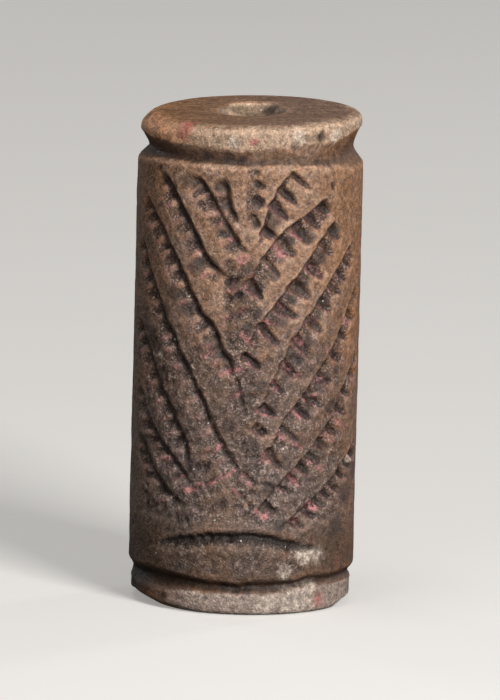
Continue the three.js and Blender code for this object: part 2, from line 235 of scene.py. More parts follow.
# The lower end's edge is ground off in a bevel: angle and height, and its width for each mm of height
bevel = {
    "heights": [(-180, 0.25), (-115, 0.4), (-92, 1.0), (-75, 1.3), (-60, 1.0), (-45, 0.8), (-30, 0.6), (-15, 0.38),
                (-8, 0.15), (0, 0.08), (48, 0.08), (60, 0.35), (70, 0.9), (84, 0.9), (105, 0.3), (180, 0.25)],
    "slope": 1.8,
}


def linear(hexColour):
    # sRGB hex to linear, as the shader wants it
    channels = [int(hexColour[i:i + 2], 16) / 255 for i in (1, 3, 5)]
    return [c / 12.92 if c <= 0.04045 else ((c + 0.055) / 1.055) ** 2.4 for c in channels] + [1.0]


def rise(low, high, value):
    t = np.clip((value - low) / (high - low), 0, 1)
    return t * t * (3 - 2 * t)


def drift(points, size, seed):
    # smooth noise, about -1 to 1, with swells the given mm wide
    shift = Vector((17.3, 5.1, 9.7)) * seed
    return np.array([noise.noise(Vector(p) / size + shift) for p in points])


# Blank: an outline of straight stretches, its corners worn, spun into a tube
def spinBlank():
    bm = bmesh.new()
    rim, body, top = seal["rimRadius"], seal["bodyRadius"], seal["height"]
    # radius, height, and how many pieces the stretch to the next corner gets
    corners = [
        (seal["mouthRadius"], 0, 9), (rim - 2.2, 0, 8), (rim - 0.6, 0, 3), (rim - 0.12, 0.35, 2), (rim, 0.9, 0),
        (rim, 3.2, 0), (body, 4.0, 0), (body, top - 4.2, 0), (rim, top - 3.2, 0),
        (rim, top - 0.6, 2), (rim - 0.08, top - 0.2, 2), (rim - 0.3, top, 8), (rim - 2.2, top, 14),
        (seal["mouthRadius"], top, 3), (seal["boreRadius"], top - 0.6, 10), (seal["boreRadius"], 0.9, 3),
    ]
    verts = [bm.verts.new((r * mm, 0, z * mm)) for r, z, pieces in corners]
    edges = [bm.edges.new((vert, verts[(i + 1) % len(verts)])) for i, vert in enumerate(verts)]
    for edge, (r, z, pieces) in zip(edges, corners):
        pieces = pieces or round(edge.calc_length() / mm / seal["ring"])
        bmesh.ops.bisect_edges(bm, edges=[edge], cuts=pieces - 1)
    for i in range(seal["cornerPasses"]):
        bmesh.ops.smooth_vert(bm, verts=bm.verts[:], factor=0.5, use_axis_x=True, use_axis_z=True)
    lowest = min(v.co.z for v in bm.verts)
    bmesh.ops.translate(bm, verts=bm.verts[:], vec=(0, 0, -lowest))
    bmesh.ops.spin(bm, geom=bm.verts[:] + bm.edges[:], cent=(0, 0, 0), axis=(0, 0, 1), angle=math.tau,
                   steps=seal["turns"], use_merge=True)
    bmesh.ops.remove_doubles(bm, verts=bm.verts[:], dist=0.002 * mm)
    bmesh.ops.recalc_face_normals(bm, faces=bm.faces[:])
    return bm


def rowLine(points, pieces=5):
    # a smooth curve through points of the unrolled side: mm round the seal from the front, and height
    spots = np.array([(math.radians(a) * seal["bodyRadius"], z) for a, z in points])
    ends = np.vstack((2 * spots[0] - spots[1], spots, 2 * spots[-1] - spots[-2]))
    t = np.linspace(0, 1, pieces, endpoint=False)[:, None]
    parts = [
        b + 0.5 * (c - a) * t + (a - 2.5 * b + 2 * c - 0.5 * d) * t ** 2
        + (1.5 * b - 0.5 * a - 1.5 * c + 0.5 * d) * t ** 3
        for a, b, c, d in zip(ends, ends[1:], ends[2:], ends[3:])
    ]
    return np.vstack(parts + [spots[-1:]])


def besideLine(spots, line):
    # for each spot of the unrolled side, how far along the line it is and how far above it
    along, above = np.zeros(len(spots)), np.full(len(spots), 1e3)
    run = 0.0
    for a, b in zip(line[:-1], line[1:]):
        step = b - a
        length = np.hypot(*step)
        t = np.clip((spots - a) @ step / length ** 2, 0, 1)
        gap = spots - a - t[:, None] * step
        side = np.where(step[0] * gap[:, 1] - step[1] * gap[:, 0] < 0, -1, 1)
        distance = np.hypot(gap[:, 0], gap[:, 1])
        nearer = distance < np.abs(above)
        along[nearer] = run + t[nearer] * length
        above[nearer] = (side * distance)[nearer]
        run += length
    return along, above, run


def grooveDepth(along, above, run, wall, slope, depth, runOut):
    # a V with a steep upper wall, running out at both ends
    ends = np.sin(np.pi / 2 * np.clip(np.minimum(along, run - along) / runOut, 0.1, 1))
    section = 1 - np.abs(above) / (np.where(above > 0, wall, slope) * (0.4 + 0.6 * ends))
    return depth * ends * np.clip(section, 0, 1)


def strokeCut(spots, head, slant, length, width, depth, wall):
    # one cut from its head in a direction, steep on the left of the way it runs, with a flat floor and a slanting
    # bank on the right; and where that bank is
    turn = math.radians(slant)
    y = (spots - head) @ np.array([math.cos(turn), math.sin(turn)]) / length
    x = (spots - head) @ np.array([-math.sin(turn), math.cos(turn)])
    bank = x / ((width - wall) * (1 - 0.7 * np.clip(y, 0, 1) ** 1.5))
    section = np.clip(np.where(x > 0, 1 - x / wall, (1 + bank) / 0.45), 0, 1)
    down = rise(-0.08, 0.04, y) * (1 - np.clip((y - 0.4) / 0.6, 0, 1) ** 2)
    return depth * section * down, rise(-1.0, -0.8, bank) * rise(-0.4, -0.6, bank) * (down > 0.05)


def carveFurrow(near, points, slant, depth, dice):
    # a left-hand row: a groove whose long lower side is crossed by ribs
    line = rowLine(points)
    along, above, run = besideLine(near, line)
    above = above + furrow["wall"] / 2
    ends = np.sin(np.pi / 2 * np.clip(np.minimum(along, run - along) / furrow["runOut"], 0.1, 1))
    y = np.clip(-above / (furrow["slope"] * (0.6 + 0.4 * ends)), 0, 1)
    wall = np.clip(1 - above / (furrow["wall"] * (0.4 + 0.6 * ends)), 0, 1)
    across, climb = line[-1] - line[0]
    lean = math.atan2(climb, across) - math.radians(slant)
    count = max(2, round(run / furrow["pitch"]))
    places = (np.arange(count + 1) + dice.uniform(-0.16, 0.16, count + 1)) * run / count
    phase = np.interp(along + above / math.tan(lean), places, np.arange(count + 1))
    crest = (0.5 + 0.5 * np.cos(2 * np.pi * phase)) ** 1.8
    ribs = crest * rise(0.08, 0.35, y) * (above < 0)
    cut = depth * ends * np.where(above > 0, wall, rise(1.0, 0.1, y)) * (1 - furrow["rib"] * ribs)
    pink = crest ** 4 * rise(0.25, 0.45, y) * rise(1.0, 0.8, y) * (above < 0) * ends
    grime = np.where(above > 0, wall, rise(1.0, 0.65, y) * (1 - 0.9 * ribs)) * ends
    return cut, 0.5 * pink, grime


def carveStrokes(near, row, dice):
    # a right-hand row: a scored line, rough ground under it, and strokes across the ground
    points, ground, cuts = row
    line = rowLine(points)
    along, above, run = besideLine(near, line)
    lineWidth = strokes["lineWidth"]
    cut = grooveDepth(along, above, run, lineWidth * 0.36, lineWidth * 0.64, strokes["lineDepth"], 0.9)
    pink, grime = np.zeros(len(near)), 0.9 * rise(0.4, 0.1, np.abs(above))
    if ground:
        shelf = rise(-ground, -0.45 * ground, above) * rise(0.05, -0.1, above)
        shelf = shelf * rise(0, 1.2, along) * rise(run, run - 0.8, along)
        cut = np.maximum(cut, strokes["groundDepth"] * shelf)
        grime = np.maximum(grime, shelf)
    for start, slant, length, width in cuts:
        x = math.radians(start) * seal["bodyRadius"]
        head = np.array([x, np.interp(x, line[:, 0], line[:, 1])])
        deep = strokes["depth"] * dice.uniform(0.85, 1.12)
        one, bank = strokeCut(near, head, slant, length, width, deep, strokes["wall"])
        cut = np.maximum(cut, one)
        pink = np.maximum(pink, 0.45 * bank)
        grime = np.maximum(grime, rise(0.08, 0.4, one / strokes["depth"]))
    return cut, pink, grime


def carveSide(spots, rough):
    # at each spot of the unrolled side: depth of the carving, pink residue, grime, and soot in the arched groove
    dice = np.random.default_rng(7)
    cut, pink, grime, soot = (np.zeros(len(spots)) for i in range(4))
    frontReach = math.radians(relief["reach"]) * seal["bodyRadius"]
    carved = (spots[:, 1] > relief["from"]) & (spots[:, 1] < relief["to"])
    front = np.nonzero((np.abs(spots[:, 0]) < frontReach) & carved)[0]
    near = spots[front]
    layers = [carveFurrow(near, points, slant, depth, dice) for points, slant, depth in furrows]
    layers += [carveStrokes(near, row, dice) for row in strokeRows]
    along, above, run = besideLine(near, rowLine(arch["line"]))
    deep = grooveDepth(along, above, run, arch["wall"], arch["slope"], arch["depth"], arch["runOut"])
    layers.append((deep, 0 * deep, rise(0.05, 0.3, deep)))
    soot[front] = 0.9 * rise(0.15, 0.55, deep)
    for left, right, width, depth in singles:
        along, above, run = besideLine(near, rowLine([left, right], 1))
        deep = grooveDepth(along, above, run, width / 2, width / 2, depth, 0.6)
        layers.append((deep, 0 * deep, rise(0, 0.2, deep)))
    depth, stain, dirt = (np.max([layer[i] for layer in layers], axis=0) for i in range(3))
    for left, right, width in pinkStrokes:
        along, above, run = besideLine(near, rowLine([left, right], 1))
        depth = depth + grooveDepth(along, above, run, width / 2, width / 2, relief["pinkDepth"], 0.6)
        stain = np.maximum(stain, 1.3 * rise(0.62 * width, 0.2 * width, np.abs(above)))

    # the ground where the two sides meet, and the whole lower field, are rough too
    degrees = np.degrees(near[:, 0] / seal["bodyRadius"])
    high = near[:, 1]
    middle = rise(12, 6, np.abs(degrees + 4 - 0.25 * (35 - high))) * rise(9, 11, high) * rise(38, 35, high)
    stem = rise(4.5, 2, np.abs(degrees - 1.5)) * rise(39, 40.5, high) * rise(46.3, 45.6, high)
    field = rise(33, 26, high) * rise(9.0, 9.8, high) * rise(68, 58, np.abs(degrees))
    lens = rise(50, 30, np.abs(degrees)) * rise(3.8, 4.8, high) * rise(9.0, 8.0, high)
    ground = np.max((0.85 * middle, 0.6 * field, 0.7 * stem, 0.45 * lens), axis=0)
    cut[front] = depth + relief["roughDepth"] * ground * np.clip(1 + rough[front], 0, 2)
    pink[front], grime[front] = stain, np.maximum(dirt, ground)

    # the back's chevrons, each a pair of plain grooves that meet at the back's middle
    half = math.pi * seal["bodyRadius"]
    behind = np.nonzero(np.abs(spots[:, 0]) > frontReach)[0]
    turned = spots[behind].copy()
    turned[:, 0] = (turned[:, 0] + 2 * half) % (2 * half) - half
    depth = np.zeros(len(behind))
    for k in range(backRows["count"]):
        outer = backRows["top"] - k * backRows["pitch"]
        inner = outer - backRows["rise"]
        for ends in ([(-backRows["reach"], outer), (0, inner)], [(0, inner), (backRows["reach"], outer)]):
            along, above, run = besideLine(turned, rowLine(ends, 1))
            one = grooveDepth(along, above, run, backRows["wall"], backRows["slope"], backRows["depth"], 0.9)
            depth = np.maximum(depth, one)
    cut[behind], grime[behind] = depth, rise(0.05, 0.35, depth)
    return cut, pink, grime, soot


def neckCut(angle, z, table, floor):
    # depth of a neck groove, and the rim beyond it
    angles, outer, inner, depths = np.array(table).T
    edge, body, depth = (np.interp(angle, angles, values) for values in (outer, inner, depths))
    t = (z - edge) / (body - edge)
    rim = rise(0.07, -0.03, t)
    t = np.where(edge > body, 1 - t, t)
    x = np.clip(np.where(t < floor, t / floor, (1 - t) / (1 - floor)), 0, 1)
    return depth * (0.5 * x + 0.5 * np.sin(np.pi / 2 * x)), rim


def grindEdge(place, radius, degrees):
    # moves what lies outside the lower end's bevel onto it
    height = np.interp(degrees, *np.array(bevel["heights"]).T)
    width = bevel["slope"] * height
    length = np.hypot(height, width)
    out = ((radius - seal["rimRadius"]) * height - (place[:, 2] - height) * width) / length
    out = np.clip(out, 0, None) * (radius > 5)
    scale = 1 - out * height / length / radius
    return place * np.column_stack((scale, scale, np.ones(len(scale)))) + np.outer(out * width / length, (0, 0, 1))


def shapeSeal(mesh):
    count = len(mesh.vertices)
    flat = np.empty(count * 3)
    mesh.vertices.foreach_get("co", flat)
    points = flat.reshape(-1, 3) / mm

    # the steps of the spin move closer together at the front, where the fine carving is
    angle = np.arctan2(points[:, 0], -points[:, 1])
    angle = angle - seal["crowding"] * np.sin(angle)
    radius = np.hypot(points[:, 0], points[:, 1])
    z = points[:, 2].copy()
    outside = radius > seal["sideFrom"]
    degrees = np.degrees(angle)
    place = np.column_stack((radius * np.sin(angle), -radius * np.cos(angle), z))
    print("drifting the surface")

    slow, mid, fine = drift(place, 7.0, 1), drift(place, 1.9, 2), drift(place, 0.62, 3)
    stray = drift(place, 2.6, 4), drift(place, 2.6, 5)
    tremble = drift(place, 0.8, 10), drift(place, 0.8, 11)

    upperFloor = 1 - necks["upperFloor"] + necks["sideShift"] * rise(40, 80, np.abs(degrees))
    upperNeck, upperRim = neckCut(degrees + 4 * stray[0], z + 0.18 * mid + 0.1 * fine, necks["upper"], upperFloor)
    lowerNeck, lowerRim = neckCut(degrees + 4 * stray[1], z + 0.12 * mid + 0.05 * fine, necks["lower"],
                                  necks["lowerFloor"])
    neck = np.maximum(upperNeck, lowerNeck) * outside
    steady = 0.2 + 0.8 * rise(9.0, 10.5, z)   # the arched groove was cut with a surer hand
    wander = 0.13 * np.column_stack(stray) + 0.08 * np.column_stack(tremble) * steady[:, None]
    spots = np.column_stack((angle * seal["bodyRadius"], z)) + wander
    cut, pink, grime, soot = carveSide(spots, mid + 0.8 * fine)
    clear = outside * (1 - rise(0.15, 0.5, neck))
    cut = cut * clear * (1 + 0.16 * mid + 0.2 * fine)
    grime = grime * clear
    print("carving cut")

    depth = neck + cut + seal["rimShrink"] * lowerRim * outside
    plain = outside * (1 - rise(0.0, 0.3, depth))
    bulge = rise(52, 20, np.abs(degrees)) * rise(3.0, 5.2, z) * rise(8.4, 6.2, z)
    depth = depth + outside * (0.05 * slow + 0.04 * mid + 0.024 * fine - seal["swelling"] * bulge)
    depth = depth + 0.05 * grime * (fine + drift(place, 0.4, 9))
    pits = rise(0.42, 0.75, drift(place, 0.95, 6)) * relief["pitDepth"] * (0.4 + 0.6 * rise(-0.2, 0.4, slow))
    depth = depth + outside * pits * (0.5 + 0.5 * plain)
    radius = radius - depth
    rounding = seal["leftRounding"] * rise(-20, -60, degrees) * rise(150, 110, np.abs(degrees))
    rounding = rounding + seal["edgeRounding"]
    z = z - rounding * rise(9.2, 11.3, radius) ** 2 * rise(48.0, 50.0, z)

    ends = (~outside) & (radius > 3.2)
    atTop, atBottom = ends & (z > 49), ends & (z < 1)
    rub = 0.03 * mid + 0.02 * fine + 0.06 * rise(0.45, 0.75, drift(place, 1.2, 8))
    z = z - rub * atTop + rub * atBottom * 0.4
    z = z + rise(45.0, 48.5, z) * radius * np.sin(angle) * math.tan(math.radians(seal["topSlope"]))
    place = np.column_stack((radius * np.sin(angle), -radius * np.cos(angle), z))
    place = grindEdge(place, radius, degrees)

    for chipAngle, chipRadius, height, size, bite in chips:
        turn = math.radians(chipAngle)
        reach = chipRadius + size - bite
        centre = np.array([reach * math.sin(turn), -reach * math.cos(turn), height])
        offset = place - centre
        distance = np.linalg.norm(offset, axis=1)
        inside = distance < size * (1 + 0.06 * mid)
        push = offset[inside] * (size / np.maximum(distance[inside], 0.2) - 1)[:, None]
        place[inside] += push

    mesh.vertices.foreach_set("co", (place * mm).ravel())

    def reachFrom(spotAngle, height, size):
        # distance from a patch's middle, 1 at its radius, made uneven
        aside = np.radians(degrees - spotAngle) * seal["bodyRadius"]
        return np.hypot(aside, z - height) / size + 0.4 * mid + 0.35 * fine

    marks = {"pale": np.zeros(count), "red": np.zeros(count), "dark": soot}
    for kind, *patch in stains:
        marks[kind] = np.maximum(marks[kind], rise(1.4, 0.3, reachFrom(*patch)) * outside)
    earth = np.zeros(count)
    for patch in earthPatches:
        earth = np.maximum(earth, rise(1.3, 0.5, reachFrom(*patch)) * outside)
    masks = {
        "heldEarth": earth,
        "paleStain": marks["pale"], "redStain": marks["red"], "darkStain": marks["dark"],
        "carvedDepth": np.clip(cut / 0.8, 0, 1),
        "rubbedRim": np.maximum(upperRim, lowerRim),
        "pinkResidue": np.clip(pink, 0, 1) * clear,
        "grime": np.clip(grime, 0, 1),
        "neckDirt": np.clip(neck / 0.6, 0, 1),
        "pitted": np.clip(pits / 0.08, 0, 1) * outside,
    }
    for name, values in masks.items():
        mesh.attributes.new(name, "FLOAT", "POINT").data.foreach_set("value", values.astype(np.float32))


def markEdges(mesh):
    # how far each vertex stands out of its neighbours: worn edges are high, hollows are low; the stone lightens the
    # worn edges and darkens the hollows as painted shade
    count = len(mesh.vertices)
    flat, normals = np.empty(count * 3), np.empty(count * 3)
    mesh.vertices.foreach_get("co", flat)
    mesh.vertices.foreach_get("normal", normals)
    points, normals = flat.reshape(-1, 3) / mm, normals.reshape(-1, 3)
    pairs = np.empty(len(mesh.edges) * 2, dtype=np.int32)
    mesh.edges.foreach_get("vertices", pairs)
    a, b = pairs.reshape(-1, 2).T
    links = np.bincount(a, minlength=count) + np.bincount(b, minlength=count)

    def spread(values):
        return (np.bincount(a, values[b], count) + np.bincount(b, values[a], count)) / links

    average = np.column_stack([spread(points[:, i]) for i in range(3)])
    lift = np.einsum("ij,ij->i", points - average, normals)
    for i in range(3):
        lift = 0.5 * lift + 0.5 * spread(lift)
    values = np.clip(0.5 + lift * 22, 0, 1).astype(np.float32)
    mesh.attributes.new("wornEdgeAndHollowShade", "FLOAT", "POINT").data.foreach_set("value", values)


bm = spinBlank()
sealMesh = bpy.data.meshes.new("carvedSeal")
bm.to_mesh(sealMesh)
bm.free()
print("blank spun:", len(sealMesh.vertices), "vertices")
shapeSeal(sealMesh)

bm = bmesh.new()
bm.from_mesh(sealMesh)
bmesh.ops.smooth_vert(bm, verts=bm.verts[:], factor=0.3, use_axis_x=True, use_axis_y=True, use_axis_z=True)
bmesh.ops.recalc_face_normals(bm, faces=bm.faces[:])
for face in bm.faces:
    face.smooth = True
bm.to_mesh(sealMesh)
bm.free()
markEdges(sealMesh)

carvedSeal = bpy.data.objects.new("carvedSeal", sealMesh)
bpy.context.scene.collection.objects.link(carvedSeal)
print("seal shaped:", len(sealMesh.polygons), "faces")

# Colours of the stone and of what lies in it
stoneColours = {
    "warmStone": "#9a7050",      # tan, where the stone is clean
    "paleStone": "#b3917a",      # paler clouds in it
    "greyStone": "#7d6b62",      # grey-brown, lower down and to the left
    "mauveStone": "#5f504e",
    "rimStone": "#c0a186",       # rubbed pale on the rims
    "rimGrey": "#b8a295",        # the lower rim
    # painted highlight: the upper rim's left end is tan, brightened to stand for light falling on it
    "rimTanAndHighlight": "#dba076",         # the upper rim's left end
    "endOrange": "#a2744f",
    "endGrey": "#957663",
    "rimBrown": "#7f5c40",       # the lower rim's left end
    "marginTint": "#fff2e2",
    "lowTint": "#d3c8bb",
    "neckDark": "#4b3423",
    "boreStone": "#b99c7f",
    "dirt": "#6a5850",
    "brownDirt": "#5d4032",      # higher up
    # dark dirt, also laid as painted shade in the deepest cuts
    "darkDirtAndShade": "#34231b",
    "heldEarth": "#453833",
    "grit": "#a59488",
    "pink": "#b17672",
    "redStain": "#b5605a",
    "paleStain": "#d8c6b4",
    "darkStain": "#22170f",
    # painted glint: the white of crystal faces catching the light
    "paintedGlint": "#f4ede4",
}


def addNode(tree, kind, settings={}, values={}, links={}):
    node = tree.nodes.new("ShaderNode" + kind)
    for name, setting in settings.items():
        setattr(node, name, setting)
    for socket, value in values.items():
        node.inputs[socket].default_value = value
    for socket, source in links.items():
        tree.links.new(source, node.inputs[socket])
    return node


def weatheredStone():
    # Soft banded stone, cut by hand and long buried: dull, mottled, with dirt held in every hollow
    material = bpy.data.materials.new("weatheredCarvedStone")
    material.use_nodes = True
    tree = material.node_tree
    tree.nodes.clear()
    colour = {name: linear(value) for name, value in stoneColours.items()}
    smooth, rgb = {"interpolation_type": "SMOOTHSTEP"}, {"data_type": "RGBA"}
    times, plus = {"operation": "MULTIPLY", "use_clamp": True}, {"operation": "ADD", "use_clamp": True}
    where = addNode(tree, "TexCoord").outputs["Object"]
    axes = addNode(tree, "SeparateXYZ", links={0: where}).outputs
    names = ("carvedDepth", "grime", "pinkResidue", "neckDirt", "rubbedRim", "pitted", "wornEdgeAndHollowShade", "heldEarth",
             "paleStain", "redStain", "darkStain")
    mask = {name: addNode(tree, "Attribute", {"attribute_name": name}).outputs["Fac"] for name in names}

    def product(first, second):
        return addNode(tree, "Math", times, links={0: first, 1: second}).outputs[0]

    def ramp(source, values, settings={}):
        # from 1 to 2 in the source gives 3 to 4, or 0 to 1 where they aren't said
        return addNode(tree, "MapRange", settings, values, {0: source}).outputs[0]

    def laid(name, amount, under):
        # a named colour laid over the one under it
        return addNode(tree, "Mix", rgb, {7: colour[name]}, {0: amount, 6: under}).outputs[2]

    # clouds 5 mm wide, blotches 1.5 mm, grain 0.5 mm and dust 0.22 mm
    clouds, blotches, grain, dust = (
        addNode(tree, "TexNoise", values={"Scale": 1 / (size * mm), "Detail": detail, "Roughness": 0.65},
                links={"Vector": where}).outputs["Fac"]
        for size, detail in ((5.0, 4), (1.5, 4), (0.5, 4), (0.22, 2))
    )

    # the stone turns from warm to grey downwards and to the left
    down = ramp(axes["Z"], {1: 0.042, 2: 0.014})
    left = ramp(axes["X"], {1: -0.003, 2: -0.0105, 3: -0.3, 4: 0.35})
    cloudy = ramp(clouds, {1: 0.35, 2: 0.65, 3: -0.35, 4: 0.35})
    greyness = addNode(tree, "Math", {"operation": "ADD"}, links={0: down, 1: left}).outputs[0]
    greyness = addNode(tree, "Math", plus, links={0: greyness, 1: cloudy}).outputs[0]
    aside = addNode(tree, "Math", {"operation": "ABSOLUTE"}, links={0: axes["X"]}).outputs[0]
    aside = ramp(aside, {1: 0.0065, 2: 0.0105}, smooth)
    middle = addNode(tree, "Math", {"operation": "SUBTRACT"}, {0: 1.0}, {1: aside}).outputs[0]
    paleness = ramp(blotches, {1: 0.42, 2: 0.62, 4: 0.6}, smooth)
    paleness = addNode(tree, "Math", {"operation": "MULTIPLY_ADD", "use_clamp": True}, {1: 0.35},
                       {0: middle, 2: paleness}).outputs[0]
    warm = addNode(tree, "Mix", rgb, {6: colour["warmStone"], 7: colour["paleStone"]}, {0: paleness}).outputs[2]
    base = laid("greyStone", greyness, warm)
    mauve = ramp(blotches, {1: 0.54, 2: 0.64, 4: 0.8}, smooth)
    mauve = product(mauve, greyness)
    base = laid("mauveStone", mauve, base)

    # towards the sides and low down it is browner
    multiply = {"data_type": "RGBA", "blend_type": "MULTIPLY"}
    base = addNode(tree, "Mix", multiply, {7: colour["marginTint"]}, {0: aside, 6: base}).outputs[2]
    low = ramp(axes["Z"], {1: 0.0105, 2: 0.007}, smooth)
    base = addNode(tree, "Mix", multiply, {7: colour["lowTint"]}, {0: low, 6: base}).outputs[2]

    # rims, rubbed pale: the upper one tan at its left end, made brighter there as a painted highlight, and the
    # lower one brown
    leftEnd = ramp(axes["X"], {1: -0.0045, 2: -0.0095}, smooth)
    upperHalf = ramp(axes["Z"], {1: 0.02, 2: 0.03})
    rimEnd = addNode(tree, "Mix", rgb, {6: colour["rimBrown"], 7: colour["rimTanAndHighlight"]}, {0: upperHalf}).outputs[2]
    rims = addNode(tree, "Math", times, {1: 0.92}, {0: mask["rubbedRim"]}).outputs[0]
    rimColour = addNode(tree, "Mix", rgb, {6: colour["rimGrey"], 7: colour["rimStone"]}, {0: upperHalf}).outputs[2]
    rimColour = addNode(tree, "Mix", rgb, links={0: leftEnd, 6: rimColour, 7: rimEnd}).outputs[2]
    rimBlotch = ramp(blotches, {1: 0.35, 2: 0.65, 3: 0.78, 4: 1.16})
    rimColour = addNode(tree, "Mix", multiply, {0: 1.0}, {6: rimColour, 7: rimBlotch}).outputs[2]
    base = addNode(tree, "Mix", rgb, links={0: rims, 6: base, 7: rimColour}).outputs[2]

    # the flat ends, brown with fine streaks across: orange to the left, grey to the right
    streakPlace = addNode(tree, "Mapping", {}, {"Scale": (0.14, 1, 1)}, {0: where}).outputs[0]
    streaks = addNode(tree, "TexNoise", values={"Scale": 1 / (0.4 * mm), "Detail": 4, "Roughness": 0.7},
                      links={"Vector": streakPlace}).outputs["Fac"]
    facing = addNode(tree, "SeparateXYZ", links={0: addNode(tree, "NewGeometry").outputs["Normal"]}).outputs["Z"]
    level = addNode(tree, "Math", {"operation": "ABSOLUTE"}, links={0: facing}).outputs[0]
    ends = ramp(level, {1: 0.72, 2: 0.93}, smooth)
    levelPlace = addNode(tree, "VectorMath", {"operation": "MULTIPLY"}, {1: (1, 1, 0)}, {0: where}).outputs[0]
    fromAxis = addNode(tree, "VectorMath", {"operation": "LENGTH"}, links={0: levelPlace}).outputs["Value"]
    fadeAt = ramp(blotches, {1: 0.4, 2: 0.6, 3: -0.0006, 4: 0.0006})
    fadeAt = addNode(tree, "Math", {"operation": "ADD"}, links={0: fadeAt, 1: fromAxis}).outputs[0]
    inward = ramp(fadeAt, {1: 0.0113, 2: 0.0094}, smooth)
    atEnds = product(ends, rims)
    atEnds = product(atEnds, inward)
    rightward = ramp(axes["X"], {1: -0.009, 2: 0.004})
    endColour = addNode(tree, "Mix", rgb, {6: colour["endOrange"], 7: colour["endGrey"]}, {0: rightward}).outputs[2]
    streakLight = ramp(streaks, {1: 0.36, 2: 0.64, 3: 0.68, 4: 1.3})
    endColour = addNode(tree, "Mix", multiply, {0: 1.0}, {6: endColour, 7: streakLight}).outputs[2]
    base = addNode(tree, "Mix", rgb, links={0: atEnds, 6: base, 7: endColour}).outputs[2]

    # dirt in the necks, heaviest on the left
    neckLeft = ramp(axes["X"], {1: 0.009, 2: -0.006, 3: 0.55, 4: 0.78})
    neckAmount = product(neckLeft, mask["neckDirt"])
    base = laid("neckDark", neckAmount, base)

    # speckled dirt where the stone was cut or roughened, darkest in the deepest cuts, where the darkening is dirt
    # and painted shade
    mottle = addNode(tree, "Math", {"operation": "ADD"}, links={0: grain, 1: blotches}).outputs[0]
    speckle = ramp(mottle, {1: 0.9, 2: 1.1})
    earth = addNode(tree, "Mix", rgb, {6: colour["brownDirt"], 7: colour["dirt"]}, {0: down}).outputs[2]
    dirt = addNode(tree, "Mix", rgb, {6: colour["darkDirtAndShade"]}, {0: speckle, 7: earth}).outputs[2]
    gritty = ramp(dust, {1: 0.52, 2: 0.62, 4: 0.7}, smooth)
    dirt = laid("grit", gritty, dirt)
    hold = ramp(mottle, {1: 0.85, 2: 1.18, 3: 0.3, 4: 1.4})
    held = product(mask["grime"], hold)
    held = ramp(held, {1: 0.15, 2: 0.75, 4: 0.92}, smooth)
    base = addNode(tree, "Mix", rgb, links={0: held, 6: base, 7: dirt}).outputs[2]
    # dirt and painted shade: the deepest cuts are darkened by their depth
    deepDirtAndShade = ramp(mask["carvedDepth"], {1: 0.45, 2: 1.0, 4: 0.6}, smooth)
    deepDirtAndShade = product(deepDirtAndShade, hold)
    base = laid("darkDirtAndShade", deepDirtAndShade, base)
    clotted = ramp(grain, {1: 0.36, 2: 0.58, 3: 0.35, 4: 0.9}, smooth)
    clotted = product(clotted, mask["heldEarth"])
    base = laid("heldEarth", clotted, base)
    pitDirt = addNode(tree, "Math", times, {1: 0.5}, {0: mask["pitted"]}).outputs[0]
    base = laid("darkDirtAndShade", pitDirt, base)

    # pink residue in broken streaks
    broken = ramp(grain, {1: 0.41, 2: 0.54}, smooth)
    patchy = ramp(blotches, {1: 0.36, 2: 0.56, 3: 0.3}, smooth)
    pinkAmount = product(broken, patchy)
    pinkAmount = product(pinkAmount, mask["pinkResidue"])
    base = laid("pink", pinkAmount, base)

    # stains
    for name, strength in (("paleStain", 0.75), ("redStain", 0.75), ("darkStain", 0.95)):
        uneven = ramp(grain, {1: 0.35, 2: 0.6, 3: 0.5 * strength, 4: strength})
        amount = product(mask[name], uneven)
        base = laid(name, amount, base)

    # the bore's wall, pale and clean, and its broken mouth; its right part is darkened to the dirt colour by where
    # it lies, as painted shade
    inBore = ramp(fromAxis, {1: 0.0052, 2: 0.0046}, smooth)
    sloping = ramp(level, {1: 0.97, 2: 0.9}, smooth)
    inBore = product(inBore, sloping)
    # painted shade: the bore's right part is darkened by its place to the right, and the left of the mouth is
    # darkened the same way
    shaded = ramp(axes["X"], {1: 0.0009, 2: 0.0017, 4: 0.8}, smooth)
    leftMouth = ramp(axes["X"], {1: -0.0017, 2: -0.0028, 4: 0.65}, smooth)
    shaded = addNode(tree, "Math", plus, links={0: shaded, 1: leftMouth}).outputs[0]
    boreColour = addNode(tree, "Mix", rgb, {6: colour["boreStone"], 7: colour["dirt"]}, {0: shaded}).outputs[2]
    base = addNode(tree, "Mix", rgb, links={0: inBore, 6: base, 7: boreColour}).outputs[2]

    # grain, lighter worn edges, and hollows darkened as painted shade
    grainLight = ramp(grain, {1: 0.36, 2: 0.64, 3: 0.6, 4: 1.4})
    dustLight = ramp(dust, {1: 0.36, 2: 0.64, 3: 0.76, 4: 1.24})
    edgeWearAndHollowShade = ramp(mask["wornEdgeAndHollowShade"], {1: 0.2, 2: 0.8, 3: 0.6, 4: 1.4})
    light = addNode(tree, "Math", {"operation": "MULTIPLY"}, links={0: grainLight, 1: edgeWearAndHollowShade}).outputs[0]
    light = addNode(tree, "Math", {"operation": "MULTIPLY"}, links={0: light, 1: dustLight}).outputs[0]
    base = addNode(tree, "Mix", multiply, {0: 1.0}, {6: base, 7: light}).outputs[2]

    # painted glints: white specks that stand in for crystal faces catching the light, mostly in the dirt, about 0.2
    # mm wide
    cells = addNode(tree, "TexVoronoi", {"feature": "F1"}, {"Scale": 1 / (0.45 * mm)}, {"Vector": where})
    small = ramp(cells.outputs["Distance"], {1: 0.3, 2: 0.1})
    chance = addNode(tree, "SeparateColor", links={0: cells.outputs["Color"]}).outputs[0]
    threshold = ramp(held, {3: 0.997, 4: 0.98})
    chosen = addNode(tree, "Math", {"operation": "GREATER_THAN"}, links={0: chance, 1: threshold}).outputs[0]
    paintedGlint = product(small, chosen)
    base = laid("paintedGlint", paintedGlint, base)

